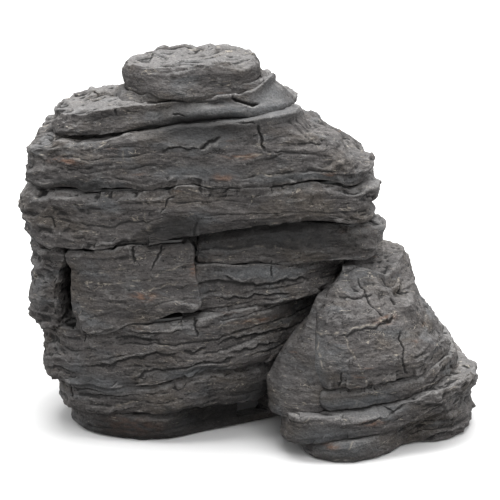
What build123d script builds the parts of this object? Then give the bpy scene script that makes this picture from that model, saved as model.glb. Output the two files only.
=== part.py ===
"""Hollow rock ornament with a cave: cast resin strata bonded in a stack, with a bonded side boulder."""

import os
from math import hypot, sqrt

from build123d import *

# ---- driving dimensions, mm ----
PAD_THICK = 2.0  # soft pads, let into the castings, keep them off the tank floor
PAD_STAND = 0.8  # how far the pads stand out of their recesses
PAD_RADIUS = 8.0
CORNER = 8.0  # how far back each corner of an outline is cut
LIP = 6.0  # height of the bevel under and over a ledge
BOND = 1.5  # adhesive line between two castings
BOND_INSET = 9.0  # how far the adhesive stays back from the faces

# Bedding planes: height on the Z axis, and rise towards +X. Each casting lies between two of them.
BASE = (PAD_STAND, 0.0)
BED_1 = (26.0, 0.08)
BED_2 = (52.0, 0.12)
BED_3 = (96.0, 0.14)
BED_4 = (126.0, 0.0)
BED_5 = (146.0, 0.06)
BED_6 = (180.0, 0.035)
BED_7 = (224.5, 0.115)
CROWN_TOP = (242.0, 0.129)
CAP_TOP = (262.5, 0.06)

BOULDER_BED_1 = (6.0, 0.15)
BOULDER_BED_2 = (27.0, 0.12)
BOULDER_BED_3 = (44.0, 0.10)
BOULDER_WIDEST = (58.0, 0.08)
BOULDER_SHOULDER = (93.0, 0.0)
BOULDER_TOP = (118.5, 0.04)
COLLAR_RISE = 6.0  # how far up the cap the putty round its foot goes

# ---- outlines in plan, counter-clockwise from the left end ----
BASE_TIER = [
    (-128, 6), (-123, -30), (-98, -51), (-62, -58), (-40, -47), (-8, -26),
    (18, -8), (52, 18), (60, 55), (34, 92), (-58, 101), (-110, 74),
]
PLINTH_TIER = [
    (-138, 2), (-132, -34), (-100, -55), (-60, -62), (-26, -58), (4, -46),
    (19, -30), (52, 14), (64, 54), (36, 94), (-60, 103), (-118, 78),
]
WAIST_TIER = [
    (-147, 0), (-139, -36), (-106, -56), (-62, -63), (-26, -62), (6, -55),
    (22, -40), (58, 2), (76, 56), (38, 96), (-60, 104), (-126, 80),
]
LEDGE_TIER = [
    (-124, 12), (-119, -34), (-40, -36), (-34, -53), (10, -55), (34, -49),
    (54, -35), (66, -12), (77, 46), (34, 94), (-60, 103), (-116, 80),
]
SHELF_TIER = [
    (-124, 12), (-119, -34), (-40, -36), (-34, -53), (18, -54), (60, -52),
    (84, -45), (91, -26), (82, 46), (30, 94), (-60, 104), (-116, 82),
]
SHOULDER_TIER = [
    (-157, -24), (-148, -46), (-112, -58), (-64, -62), (-10, -63), (42, -60),
    (80, -51), (88, -32), (78, 46), (28, 95), (-62, 105), (-136, 76),
]
UPPER_TIER = [
    (-154, -20), (-146, -44), (-108, -58), (-60, -61), (-8, -63), (40, -60),
    (76, -51), (85, -32), (76, 46), (26, 92), (-60, 101), (-132, 74),
]
UPPER_TIER_TOP = [
    (-153, -18), (-144, -41), (-108, -54), (-62, -56), (-20, -57), (8, -55),
    (27, -47), (35, -28), (28, 42), (4, 76), (-60, 90), (-128, 70),
]
CROWN_TIER = [
    (-139, -8), (-131, -34), (-102, -45), (-66, -42), (-30, -44), (4, -44),
    (24, -33), (34, -6), (26, 38), (0, 68), (-60, 80), (-118, 58),
]
CROWN_TIER_TOP = [
    (-137, -6), (-128, -31), (-100, -42), (-66, -38), (-30, -41), (-2, -41),
    (12, -30), (19, -5), (12, 36), (-6, 62), (-60, 74), (-112, 54),
]
CAP = [
    (-88, 2), (-80, -22), (-52, -37), (-20, -39), (0, -31), (8, -8),
    (3, 24), (-20, 43), (-56, 46), (-82, 30),
]
COLLAR_FOOT = [
    (-98, 3), (-88, -25), (-56, -37.5), (-20, -38), (3, -33), (14, -11),
    (8, 28), (-18, 51), (-58, 55), (-92, 36),
]
FRONT_BLOCK = [(-123, -52), (-84, -61), (-38, -61), (-36, -55), (-42, -38), (-121, -36)]
LEFT_BUTTRESS = [
    (-154, -14), (-147, -38), (-131, -47), (-125.5, -38), (-126, 12), (-129, 38), (-144, 30),
]

BOULDER_FOOT = [
    (36, -88), (62, -105), (92, -88), (108, -61), (136, -60), (154, -32),
    (156, 10), (142, 44), (98, 56), (80, 44), (62, 2), (34, -44),
]
BOULDER_SLAB = [
    (20, -84), (37, -101), (76, -98), (112, -82), (144, -58), (157, -24),
    (156, 14), (142, 46), (100, 58), (80, 46), (65, 0), (22, -48),
]
BOULDER_NECK = [
    (40, -84), (54, -93), (80, -91), (110, -76), (134, -52), (145, -22),
    (146, 12), (132, 40), (98, 52), (82, 44), (67, 2), (40, -46),
]
BOULDER_HEAD = [
    (42, -84), (56, -97), (84, -94), (114, -77), (132, -50), (136, -18),
    (132, 16), (118, 42), (98, 50), (81, 42), (66, 2), (42, -46),
]
BOULDER_BROW = [
    (43, -70), (53, -84), (79, -81), (101, -65), (115, -41), (120, -12),
    (117, 12), (109, 29), (96, 37), (83, 30), (72, -2), (48, -48),
]
BOULDER_PEAK = [
    (61, -44), (68, -50), (84, -47), (96, -36), (104, -18), (108, -2),
    (106, 12), (100, 22), (92, 27), (85, 22), (78, 2), (68, -26),
]

# ---- cave chamber, and the hollow of the boulder: (height, outline in plan) ----
CHAMBER = [
    (0, [
        (-100, 14), (-96, -18), (-62, -38), (-28, -22), (6, 4),
        (42, 30), (44, 58), (22, 76), (-56, 84), (-92, 62),
    ]),
    (60, [
        (-108, 12), (-102, -20), (-62, -38), (-26, -30), (4, -8),
        (46, 24), (50, 56), (24, 76), (-56, 86), (-98, 64),
    ]),
    (120, [
        (-106, 12), (-100, -18), (-62, -20), (-24, -34), (14, -34),
        (42, -10), (54, 44), (22, 76), (-56, 86), (-98, 64),
    ]),
    (165, [
        (-134, 6), (-122, -20), (-62, -42), (-10, -44), (34, -38),
        (62, -14), (56, 40), (20, 76), (-58, 86), (-114, 58),
    ]),
    (203, [
        (-122, 8), (-112, -20), (-64, -34), (-24, -36), (0, -32),
        (14, -10), (10, 32), (-6, 58), (-60, 70), (-104, 48),
    ]),
]
BOULDER_HOLLOW = [
    (0, [
        (52, -74), (72, -84), (96, -66), (124, -38),
        (138, 8), (122, 34), (92, 40), (58, -24),
    ]),
    (50, [
        (50, -70), (72, -78), (100, -62), (122, -34),
        (128, 8), (114, 30), (94, 36), (60, -22),
    ]),
    (88, [
        (74, -44), (84, -50), (98, -42), (108, -22),
        (108, 4), (102, 16), (92, 18), (80, -12),
    ]),
]

# ---- putty that fills the gap beside the boulder, likewise ----
SEAM = [
    (27, [
        (15, -78), (30, -90), (50, -92), (58, -60), (78, -8),
        (86, 44), (72, 46), (50, 0), (30, -40), (12, -58),
    ]),
    (48, [
        (11, -68), (28, -82), (50, -90), (58, -60), (78, -8),
        (86, 44), (70, 46), (46, 0), (26, -36), (12, -50),
    ]),
    (70, [
        (26, -66), (36, -78), (50, -86), (58, -60), (78, -8),
        (86, 42), (72, 44), (50, 0), (32, -36), (24, -50),
    ]),
    (104, [
        (44, -58), (48, -62), (54, -64), (60, -52), (78, -8),
        (86, 36), (80, 40), (62, -4), (54, -36), (48, -48),
    ]),
]

# ---- ways into the cave ----
MOUTH_CENTRE = (3, -20)  # at the back of the bay, beside the boulder
MOUTH_FACING = (0.59, -0.81)
MOUTH_WIDTH = 27.0
MOUTH_SILL = 7.0
MOUTH_TOP = 30.0
MOUTH_DEPTH = 60.0
ARCH_X = -68.0  # the large way in, through the back wall
ARCH_WIDTH = 62.0
ARCH_TOP = 58.0
ARCH_FROM_Y = 58.0
ARCH_DEPTH = 60.0
VENT_RADIUS = 3.0  # lets trapped air out of the roof
VENT_PLACE = (-78, 46)

PAD_PLACES = [
    (-112, 0), (-74, -45), (-107, 38), (8, 88), (50, 42),
    (50, -80), (88, -74), (140, -26), (134, 28),
]


def bed(height_and_rise, lift=0.0):
    """The bedding plane of that height on the Z axis and rise along +X, lifted a little."""
    height, rise = height_and_rise
    return Plane(origin=(0, 0, height + lift), x_dir=(1, 0, rise), z_dir=(-rise, 0, 1))


def between(low, high, share):
    """A bed at that share of the way from one bed up to the next."""
    return tuple(a + (b - a) * share for a, b in zip(low, high))


def inset(outline, distance):
    """The outline drawn in towards its middle by that distance."""
    middle_x = sum(x for x, _ in outline) / len(outline)
    middle_y = sum(y for _, y in outline) / len(outline)
    drawn = []
    for x, y in outline:
        reach = hypot(x - middle_x, y - middle_y)
        share = 1 - distance / reach
        drawn.append((middle_x + (x - middle_x) * share, middle_y + (y - middle_y) * share))
    return drawn


def softened(outline):
    """The outline with each corner cut off, by up to a quarter of the side."""
    cut = []
    for index, (x, y) in enumerate(outline):
        before, after = outline[index - 1], outline[(index + 1) % len(outline)]
        for next_x, next_y in (before, after):
            share = min(0.25, CORNER / hypot(next_x - x, next_y - y))
            cut.append((x + (next_x - x) * share, y + (next_y - y) * share))
    return cut


def on_bed(outline, height_and_rise):
    """Plan points as coordinates in a sloping bed, so that they keep their place in plan."""
    stretch = sqrt(1 + height_and_rise[1] ** 2)
    return [(x * stretch, y) for x, y in outline]


def section(outline, height_and_rise, lift=0.0):
    """A filled outline on a bedding plane."""
    with BuildSketch(bed(height_and_rise, lift)) as drawn:
        with BuildLine():
            Polyline(*on_bed(softened(outline), height_and_rise), close=True)
        make_face()
    return drawn.sketch


def hollow(levels):
    """A closed solid through level outlines at rising heights."""
    with BuildPart() as core:
        for height, outline in levels:
            add(section(outline, (height, 0.0)))
        loft(ruled=True)
    return core.part


def mouth_tool():
    """An arched prism that runs out of the chamber through the wall of the bay."""
    facing_x, facing_y = MOUTH_FACING
    wall = Plane(origin=(*MOUTH_CENTRE, 0), x_dir=(-facing_y, facing_x, 0), z_dir=(facing_x, facing_y, 0))
    spring = MOUTH_TOP - MOUTH_WIDTH * 0.3
    with BuildPart() as tool:
        with BuildSketch(wall):
            with BuildLine():
                Polyline(
                    (-MOUTH_WIDTH / 2, spring), (-MOUTH_WIDTH / 2, MOUTH_SILL),
                    (MOUTH_WIDTH / 2, MOUTH_SILL), (MOUTH_WIDTH / 2, spring),
                )
                ThreePointArc((MOUTH_WIDTH / 2, spring), (0, MOUTH_TOP), (-MOUTH_WIDTH / 2, spring))
            make_face()
        extrude(amount=MOUTH_DEPTH / 2, both=True)
    return tool.part


def arch_tool():
    """An arched prism through the back wall, from the floor up."""
    wall = Plane(origin=(ARCH_X, ARCH_FROM_Y, 0), x_dir=(-1, 0, 0), z_dir=(0, 1, 0))
    spring = ARCH_TOP - ARCH_WIDTH * 0.3
    with BuildPart() as tool:
        with BuildSketch(wall):
            with BuildLine():
                Polyline(
                    (-ARCH_WIDTH / 2, spring), (-ARCH_WIDTH / 2, -1),
                    (ARCH_WIDTH / 2, -1), (ARCH_WIDTH / 2, spring),
                )
                ThreePointArc((ARCH_WIDTH / 2, spring), (0, ARCH_TOP), (-ARCH_WIDTH / 2, spring))
            make_face()
        extrude(amount=ARCH_DEPTH)
    return tool.part


def casting(name, outline, low, high, under=4.0, over=4.0, top_outline=None, cuts=(), gaps=(1, 1)):
    """One stratum between two beds: bevelled under its ledge and over it, less what is cut out."""
    top_outline = top_outline or outline
    low_lift, high_lift = BOND / 2 * gaps[0], -BOND / 2 * gaps[1]
    lip = min(0.28, LIP / (high[0] - low[0]))
    with BuildPart() as piece:
        add(section(inset(outline, under), low, low_lift))
        add(section(outline, between(low, high, lip)))
        add(section(top_outline, between(low, high, 1 - lip)))
        add(section(inset(top_outline, over), high, high_lift))
        loft(ruled=True)
        for tool in cuts:
            add(tool, mode=Mode.SUBTRACT)
    piece.part.label = name
    return piece.part


def spread(outline, height_and_rise):
    """A bond thickness of adhesive under or over one casting, back from its faces."""
    with BuildPart() as layer:
        add(section(inset(outline, BOND_INSET), height_and_rise, -BOND / 2))
        extrude(amount=BOND, dir=(0, 0, 1))
    return layer.part


def bond_line(lower_outline, upper_outline, height_and_rise, cuts=()):
    """The adhesive between two castings, back from both faces."""
    with BuildPart() as glue:
        add(spread(lower_outline, height_and_rise))
        add(spread(upper_outline, height_and_rise), mode=Mode.INTERSECT)
        for tool in cuts:
            add(tool, mode=Mode.SUBTRACT)
    return glue.part


def boulder_head(cuts):
    """The boulder's top casting: widest just over the neck, narrowing to a leaning peak."""
    with BuildPart() as head:
        add(section(inset(BOULDER_HEAD, 4), BOULDER_BED_3, BOND / 2))
        add(section(BOULDER_HEAD, BOULDER_WIDEST))
        add(section(BOULDER_BROW, BOULDER_SHOULDER))
        add(section(BOULDER_PEAK, BOULDER_TOP))
        loft(ruled=True)
        for tool in cuts:
            add(tool, mode=Mode.SUBTRACT)
    head.part.label = "boulder_head"
    return head.part


def cap_collar(cap, glue):
    """Putty round the foot of the cap, fairing it into the crown."""
    with BuildPart() as collar:
        add(section(COLLAR_FOOT, CROWN_TOP))
        add(section(inset(CAP, -1), CROWN_TOP, COLLAR_RISE))
        loft(ruled=True)
        add(cap, mode=Mode.SUBTRACT)
        add(glue, mode=Mode.SUBTRACT)
    collar.part.label = "cap_collar"
    return collar.part


def seam_putty(neighbours):
    """Putty that fills the gap between the boulder and the stack, less what it lies against."""
    with BuildPart() as seam:
        add(hollow(SEAM))
        for neighbour in neighbours:
            add(neighbour, mode=Mode.SUBTRACT)
    seam.part.label = "boulder_seam_putty"
    return seam.part


def pads():
    """Soft discs under the castings, all alike."""
    with BuildPart() as discs:
        with Locations(*[(x, y, PAD_THICK / 2) for x, y in PAD_PLACES]):
            Cylinder(PAD_RADIUS, PAD_THICK)
    discs.part.label = "soft_pads"
    return discs.part


def group(name, solids):
    """Several separate solids under one name."""
    return Compound(label=name, children=[solid for part in solids for solid in part.solids()])


chamber = hollow(CHAMBER)
boulder_hollow = hollow(BOULDER_HOLLOW)
mouth = mouth_tool()
arch = arch_tool()

with BuildPart() as vent:
    with Locations((*VENT_PLACE, BED_7[0])):
        Cylinder(VENT_RADIUS, 120)

pad_discs = pads()
cave = (chamber, mouth, arch)
stack = [
    casting("base_tier", BASE_TIER, BASE, BED_1, 3, 4, cuts=(*cave, pad_discs), gaps=(0, 1)),
    casting("plinth_tier", PLINTH_TIER, BED_1, BED_2, 5, 4, cuts=cave),
    casting("waist_tier", WAIST_TIER, BED_2, BED_3, 6, 4, cuts=(chamber, arch)),
    casting("ledge_tier", LEDGE_TIER, BED_3, BED_4, 4, 3, cuts=(chamber,)),
    casting("shelf_tier", SHELF_TIER, BED_4, BED_5, 4, 4, cuts=(chamber,)),
    casting("shoulder_tier", SHOULDER_TIER, BED_5, BED_6, 5, 5, cuts=(chamber,)),
    casting("upper_tier", UPPER_TIER, BED_6, BED_7, 5, 4, UPPER_TIER_TOP, cuts=(chamber,)),
    casting("crown_tier", CROWN_TIER, BED_7, CROWN_TOP, 4, 3, CROWN_TIER_TOP, cuts=(vent.part,), gaps=(1, 0)),
]
blocks = [
    casting("front_block", FRONT_BLOCK, BED_3, BED_5, 2, 2),
    casting("left_buttress", LEFT_BUTTRESS, BED_3, BED_5, 4, 4),
]
cap = casting("cap_slab", CAP, CROWN_TOP, CAP_TOP, 3, 4, gaps=(2, 0))
cap_glue = bond_line(CAP, CAP, (CROWN_TOP[0] + BOND / 2, CROWN_TOP[1]))
boulder = [
    casting("boulder_foot", BOULDER_FOOT, BASE, BOULDER_BED_1, 2, 2, cuts=(boulder_hollow, pad_discs),
            gaps=(0, 1)),
    casting("boulder_slab", BOULDER_SLAB, BOULDER_BED_1, BOULDER_BED_2, 4, 4, cuts=(boulder_hollow,)),
    casting("boulder_neck", BOULDER_NECK, BOULDER_BED_2, BOULDER_BED_3, 3, 3, cuts=(boulder_hollow,)),
    boulder_head((boulder_hollow,)),
]

stack_outlines = [
    (BASE_TIER, PLINTH_TIER, BED_1), (PLINTH_TIER, WAIST_TIER, BED_2), (WAIST_TIER, LEDGE_TIER, BED_3),
    (LEDGE_TIER, SHELF_TIER, BED_4), (SHELF_TIER, SHOULDER_TIER, BED_5), (SHOULDER_TIER, UPPER_TIER, BED_6),
]
stack_glue = [bond_line(*layer, cuts=cave) for layer in stack_outlines]
stack_glue.append(bond_line(UPPER_TIER_TOP, CROWN_TIER, BED_7, cuts=(chamber,)))
block_glue = [
    bond_line(FRONT_BLOCK, FRONT_BLOCK, BED_3), bond_line(FRONT_BLOCK, FRONT_BLOCK, BED_5),
    bond_line(LEFT_BUTTRESS, WAIST_TIER, BED_3), bond_line(LEFT_BUTTRESS, SHOULDER_TIER, BED_5),
]
boulder_glue = [
    bond_line(BOULDER_FOOT, BOULDER_SLAB, BOULDER_BED_1, cuts=(boulder_hollow,)),
    bond_line(BOULDER_SLAB, BOULDER_NECK, BOULDER_BED_2, cuts=(boulder_hollow,)),
    bond_line(BOULDER_NECK, BOULDER_HEAD, BOULDER_BED_3, cuts=(boulder_hollow,)),
]

pieces = stack + blocks + [cap] + boulder
pieces += [
    cap_collar(cap, cap_glue),
    seam_putty(stack + boulder + stack_glue + boulder_glue),
    group("stack_bond_lines", stack_glue + [cap_glue]),
    group("block_bond_lines", block_glue),
    group("boulder_bond_lines", boulder_glue),
    pad_discs,
]

os.makedirs("parts", exist_ok=True)
for piece in pieces:
    export_step(piece, f"parts/{piece.label}.step")
    print(piece.label, round(piece.volume), len(piece.solids()), piece.is_valid)
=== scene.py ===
"""Looks of the resin cave ornament: chipped slate castings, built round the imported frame."""

import math
from types import SimpleNamespace

import bpy
import numpy as np
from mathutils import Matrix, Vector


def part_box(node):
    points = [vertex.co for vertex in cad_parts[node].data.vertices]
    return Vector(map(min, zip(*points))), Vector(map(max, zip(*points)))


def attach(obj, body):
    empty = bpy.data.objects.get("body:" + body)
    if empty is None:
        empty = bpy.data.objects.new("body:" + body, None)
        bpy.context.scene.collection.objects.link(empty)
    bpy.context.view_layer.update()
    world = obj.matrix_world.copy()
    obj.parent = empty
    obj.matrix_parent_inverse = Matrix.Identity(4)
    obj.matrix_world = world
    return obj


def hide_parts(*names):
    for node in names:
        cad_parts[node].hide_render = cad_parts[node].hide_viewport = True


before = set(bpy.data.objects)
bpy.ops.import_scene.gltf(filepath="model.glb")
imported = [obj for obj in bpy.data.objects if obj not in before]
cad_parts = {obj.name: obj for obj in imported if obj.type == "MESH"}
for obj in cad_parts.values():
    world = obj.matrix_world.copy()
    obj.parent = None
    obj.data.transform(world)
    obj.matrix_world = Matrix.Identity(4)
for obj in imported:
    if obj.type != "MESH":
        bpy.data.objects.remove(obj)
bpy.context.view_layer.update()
MM = 0.001

# ---- camera: the slight downward view of a product shot ----
ELEVATION = 14.5
DISTANCE = 1.5
TARGET = (0.0, 0.0, 0.122)
LENS = 154.3


def make_camera():
    lens = bpy.data.cameras.new("camera")
    lens.lens = LENS
    lens.sensor_width = 36.0
    lens.clip_start = 0.05
    lens.clip_end = 60.0
    camera = bpy.data.objects.new("camera", lens)
    down = math.radians(ELEVATION)
    x, y, z = TARGET
    camera.location = (x, y - DISTANCE * math.cos(down), z + DISTANCE * math.sin(down))
    camera.rotation_euler = (math.radians(90) - down, 0, 0)
    bpy.context.collection.objects.link(camera)
    bpy.context.scene.camera = camera


make_camera()

# ---- noise, in numpy: points are rows of x, y, z in millimetres ----
NOISE_GAIN = 1.6  # brings the largest values of the noise to about 1
RIDGE = 0.22  # how far a facet takes to rise from its ridges, as a part of a cell


def scrambled(x, y, z, seed):
    """A whole number under 2**32 for each whole-numbered cell."""
    h = (x * 374761393 + y * 668265263 + z * 1440662683 + seed * 974634777) & 0xFFFFFFFF
    h = ((h ^ (h >> 13)) * 1274126177) & 0xFFFFFFFF
    return h ^ (h >> 16)


def share(h, shift):
    """A number from -1 to 1 out of ten bits of a scrambled one."""
    return ((h >> shift) & 1023) / 511.5 - 1.0


def noise(points, size, seed=0):
    """Smooth noise from about -1 to 1, in lumps of that size: one number, or one for each axis."""
    p = points / np.asarray(size, float)
    cell = np.floor(p).astype(np.int64)
    f = p - cell
    ease = f * f * f * (f * (f * 6 - 15) + 10)
    total = np.zeros(len(p))
    for dx in (0, 1):
        wx = ease[:, 0] if dx else 1 - ease[:, 0]
        for dy in (0, 1):
            wy = ease[:, 1] if dy else 1 - ease[:, 1]
            for dz in (0, 1):
                wz = ease[:, 2] if dz else 1 - ease[:, 2]
                h = scrambled(cell[:, 0] + dx, cell[:, 1] + dy, cell[:, 2] + dz, seed)
                dot = (share(h, 0) * (f[:, 0] - dx) + share(h, 10) * (f[:, 1] - dy)
                       + share(h, 20) * (f[:, 2] - dz))
                total += wx * wy * wz * dot
    return total * NOISE_GAIN


def fractal(points, size, octaves, seed=0, fade=0.5):
    """Several octaves of noise, each half the size of the one before."""
    total = np.zeros(len(points))
    scale = np.asarray(size, float)
    weight = 1.0
    for octave in range(octaves):
        total += weight * noise(points, scale, seed + octave * 31)
        scale = scale / 2
        weight *= fade
    return total


def chipped(points, size, seed=0):
    """Flat broken facets and scooped chips, -1 to 1, that meet in ridges."""
    p = points / np.asarray(size, float)
    cell = np.floor(p).astype(np.int64)
    nearest = np.full(len(p), 9.0)
    second = np.full(len(p), 9.0)
    plane = np.zeros(len(p))
    for dx in (-1, 0, 1):
        for dy in (-1, 0, 1):
            for dz in (-1, 0, 1):
                x, y, z = cell[:, 0] + dx, cell[:, 1] + dy, cell[:, 2] + dz
                h = scrambled(x, y, z, seed)
                away = p - np.stack([x + share(h, 0) * 0.45 + 0.5, y + share(h, 10) * 0.45 + 0.5,
                                     z + share(h, 20) * 0.45 + 0.5], 1)
                distance = (away ** 2).sum(1)
                tilt = scrambled(x, y, z, seed + 7)
                height = (away[:, 0] * share(tilt, 0) + away[:, 1] * share(tilt, 10)
                          + away[:, 2] * share(tilt, 20))
                closer = distance < nearest
                second = np.where(closer, nearest, np.minimum(second, distance))
                plane = np.where(closer, height, plane)
                nearest = np.where(closer, distance, nearest)
    near, next_one = np.sqrt(nearest), np.sqrt(second)
    return plane * np.clip((next_one - near) / RIDGE, 0, 1) + 0.7 * (near - 0.5)


def smooth_step(value):
    value = np.clip(value, 0, 1)
    return value * value * (3 - 2 * value)


def toward_front(points, start, reach):
    """0 behind y = -start, rising to 1 over that reach in front of it."""
    return smooth_step((-points[:, 1] - start) / reach)


def blocks(points, size, seed=0, edge=0.14):
    """A number from -1 to 1 for each ragged cell, with a short step from one cell to the next."""
    size = np.asarray(size, float)
    p = points / size + 0.3 * noise(points, size * 0.7, seed + 3)[:, None]
    cell = np.floor(p).astype(np.int64)
    ease = smooth_step((p - cell - 1 + edge) / edge)
    total = np.zeros(len(p))
    for dx in (0, 1):
        for dy in (0, 1):
            for dz in (0, 1):
                weight = (np.abs(1 - dx - ease[:, 0]) * np.abs(1 - dy - ease[:, 1])
                          * np.abs(1 - dz - ease[:, 2]))
                h = scrambled(cell[:, 0] + dx, cell[:, 1] + dy, cell[:, 2] + dz, seed)
                total += weight * share(h, 0)
    return total


# ---- bedding: which stratum a point is in ----
STACK_HEIGHTS = (0, 26, 52, 96, 126, 146, 180, 224, 242, 262)
STACK_RISES = (0.0, 0.08, 0.12, 0.14, 0.02, 0.06, 0.035, 0.115, 0.129, 0.06)
BOULDER_HEIGHTS = (0, 8, 30, 60, 95, 125)
BOULDER_RISES = (0.10, 0.15, 0.12, 0.09, 0.02, 0.04)
STRATUM_GAP = 41.7  # how far apart in the noise two neighbouring strata are drawn


def bedding(points, boulder):
    """Height of each point counted across the sloping beds."""
    heights, rises = (BOULDER_HEIGHTS, BOULDER_RISES) if boulder else (STACK_HEIGHTS, STACK_RISES)
    rise = np.interp(points[:, 2], heights, rises)
    wander = 3.2 * noise(points, (38, 38, 52), 3) + 1.4 * noise(points, (14, 14, 30), 4)
    return points[:, 2] - rise * points[:, 0] + wander


def strata(points, depth, thick, reach, sharp, seed):
    """Steps from stratum to stratum, -1 to 1, and 0 to 1 for the dark line between two."""
    flat = np.zeros(len(points))
    uneven = 0.35 * noise(np.stack([depth, flat, flat], 1), thick * 2.3, seed + 5)
    count = depth / thick + uneven
    layer = np.floor(count)
    within_layer = count - layer
    here, above = (
        noise(np.stack([points[:, 0], points[:, 1], number * STRATUM_GAP], 1),
              (reach, reach, 20), seed)
        for number in (layer, layer + 1))
    step = smooth_step((within_layer - (1 - sharp)) / sharp)
    line = np.exp(-((within_layer - (1 - sharp / 2)) / (sharp * 0.5)) ** 2)
    return here + (above - here) * step, line


# ---- lips: how far the crevice over each bed is closed, at places (x, share) along the front ----
# 1 is flush and shut, 0 is the open bevel of the solids, under 0 is deeper still.
# Each bed: its height at x = 0, its rise for each millimetre of x, and those places.
STACK_BEDS = {
    1: (26.0, 0.08, [(-140, 0.6), (-96, 0.8), (-80, 0.0), (-56, -0.6), (10, -1.1), (60, -0.8)]),
    2: (52.0, 0.12, [
        (-150, 0.3), (-110, 0.9), (-92, 0.8), (-80, -0.2), (-40, -0.6), (10, -0.8), (24, 0.2),
        (70, 0.4),
    ]),
    3: (96.0, 0.14, [
        (-150, -0.6), (-134, 0.2), (-126, 0.5), (-116, 0.0), (-100, 0.1), (-86, 0.7), (-66, 0.4),
        (-50, -0.4), (-38, -0.6), (-33, 0.9), (0, 0.7), (24, 0.95), (60, 0.6),
    ]),
    4: (126.0, 0.0, [(-40, 0.9), (-10, 0.6), (20, 0.9), (42, 0.1), (56, -0.6), (90, -0.6)]),
    5: (146.0, 0.06, [
        (-150, -0.6), (-134, 0.3), (-126, 0.2), (-119, -0.9), (-106, -0.8), (-101, 0.85),
        (-80, 0.8), (-76, -0.4), (-58, -1.1), (-36, -1.2), (60, -1.2), (78, -0.7), (90, -0.6),
    ]),
    6: (180.0, 0.035, [
        (-150, -0.9), (-136, -0.2), (-124, 0.4), (-118, -1.1), (-106, -0.8), (-98, 0.3),
        (-90, -0.7), (-74, -0.9), (-69, 0.7), (-64, -1.0), (-54, -0.6), (-49, 1.0), (-14, 1.05),
        (-6, 0.6), (30, 0.3), (64, 0.0), (74, -0.7), (90, -0.8),
    ]),
    7: (224.5, 0.115, [
        (-140, -0.9), (-112, -0.9), (-70, -0.5), (-56, 0.9), (-46, 0.5), (-10, 0.4), (0, 1.0),
        (34, 1.0),
    ]),
    8: (242.0, 0.129, [(-100, 0.3), (-92, 0.5), (-84, 1.0), (8, 1.0), (16, 0.8)]),
}
BOULDER_BEDS = {
    1: (6.0, 0.15, [(20, 0.2), (60, -0.4), (100, -0.5), (120, 0.3), (150, 0.8)]),
    2: (27.0, 0.12, [(30, 0.8), (45, 0.4), (60, -0.6), (98, -0.4), (114, 0.8), (150, 0.9)]),
    3: (44.0, 0.10, [
        (40, 0.9), (47, 0.5), (54, -0.6), (100, -0.6), (114, 0.0), (128, 0.7), (146, 0.8),
    ]),
}
# How far the rock over each bed stands out at least, on the same scale.
BROWS = {1: 0.4, 2: 0.6, 3: 0.4, 4: 0.4, 5: 0.75, 6: 0.6, 7: 0.6, 8: 1.0}
BOULDER_BROWS = {1: 0.5, 2: 0.4, 3: 0.6}
END_BROW = -0.4  # the same at the left and right ends
HALF_BOND = 0.75  # half the thickness of the adhesive, in millimetres
SHUT = HALF_BOND * 1.15  # how far a lip moves to meet the next one
LIP_HEIGHT = 6.0
FRONT_START = 8.0  # listed features begin this far in front of y = 0


def closed(points, profile, seed):
    """How far the crevice is closed at each point: as set in front, by chance round the back."""
    by_hand = np.interp(points[:, 0] + 2.5 * noise(points, 9, seed), *np.array(profile, float).T)
    by_chance = 0.5 + 0.9 * noise(points, (34, 34, 34), seed + 1)
    front = toward_front(points, FRONT_START, 24)
    ragged = 0.3 * noise(points, 12, seed + 2) + 0.55 * blocks(points, (15, 15, 60), seed + 3)
    return by_chance + (by_hand - by_chance) * front + ragged


def reshape_lips(points, middle, low_bed, high_bed, under, over, lip, boulder):
    """Undo or deepen a casting's bevels, so that its crevices open and close along the beds."""
    beds, brows = (BOULDER_BEDS, BOULDER_BROWS) if boulder else (STACK_BEDS, BROWS)
    outward = points[:, :2] - np.array(middle, float)
    outward /= np.hypot(*outward.T).clip(1)[:, None]
    moved = points.copy()
    off_ends = smooth_step((0.97 - np.abs(outward[:, 0])) / 0.2)
    lip = lip * (1 - 0.3 * np.abs(blocks(points, (13, 13, 60), 211)))
    if low_bed:
        height, rise, profile = beds[low_bed]
        shut = closed(points, profile, 200 + low_bed)
        above = points[:, 2] - height - rise * points[:, 0] - HALF_BOND
        near = np.clip(1 - above / lip, 0, 1.15)
        ragged = 1 + 0.6 * blocks(points, (11, 11, 60), 213)
        brow = brows[low_bed] * ragged * off_ends + END_BROW * (1 - off_ends)
        moved[:, :2] += outward * (near * under * np.maximum(shut, brow).clip(-0.8, 1.1))[:, None]
        moved[:, 2] -= near ** 2 * SHUT * shut.clip(0, 1)
    if high_bed:
        height, rise, profile = beds[high_bed]
        shut = closed(points, profile, 200 + high_bed)
        below = height + rise * points[:, 0] - HALF_BOND - points[:, 2]
        near = np.clip(1 - below / lip, 0, 1.15)
        moved[:, :2] += outward * (near * over * shut.clip(-1.2, 1.1))[:, None]
        moved[:, 2] += near ** 2 * SHUT * shut.clip(0, 1)
    return moved
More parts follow.
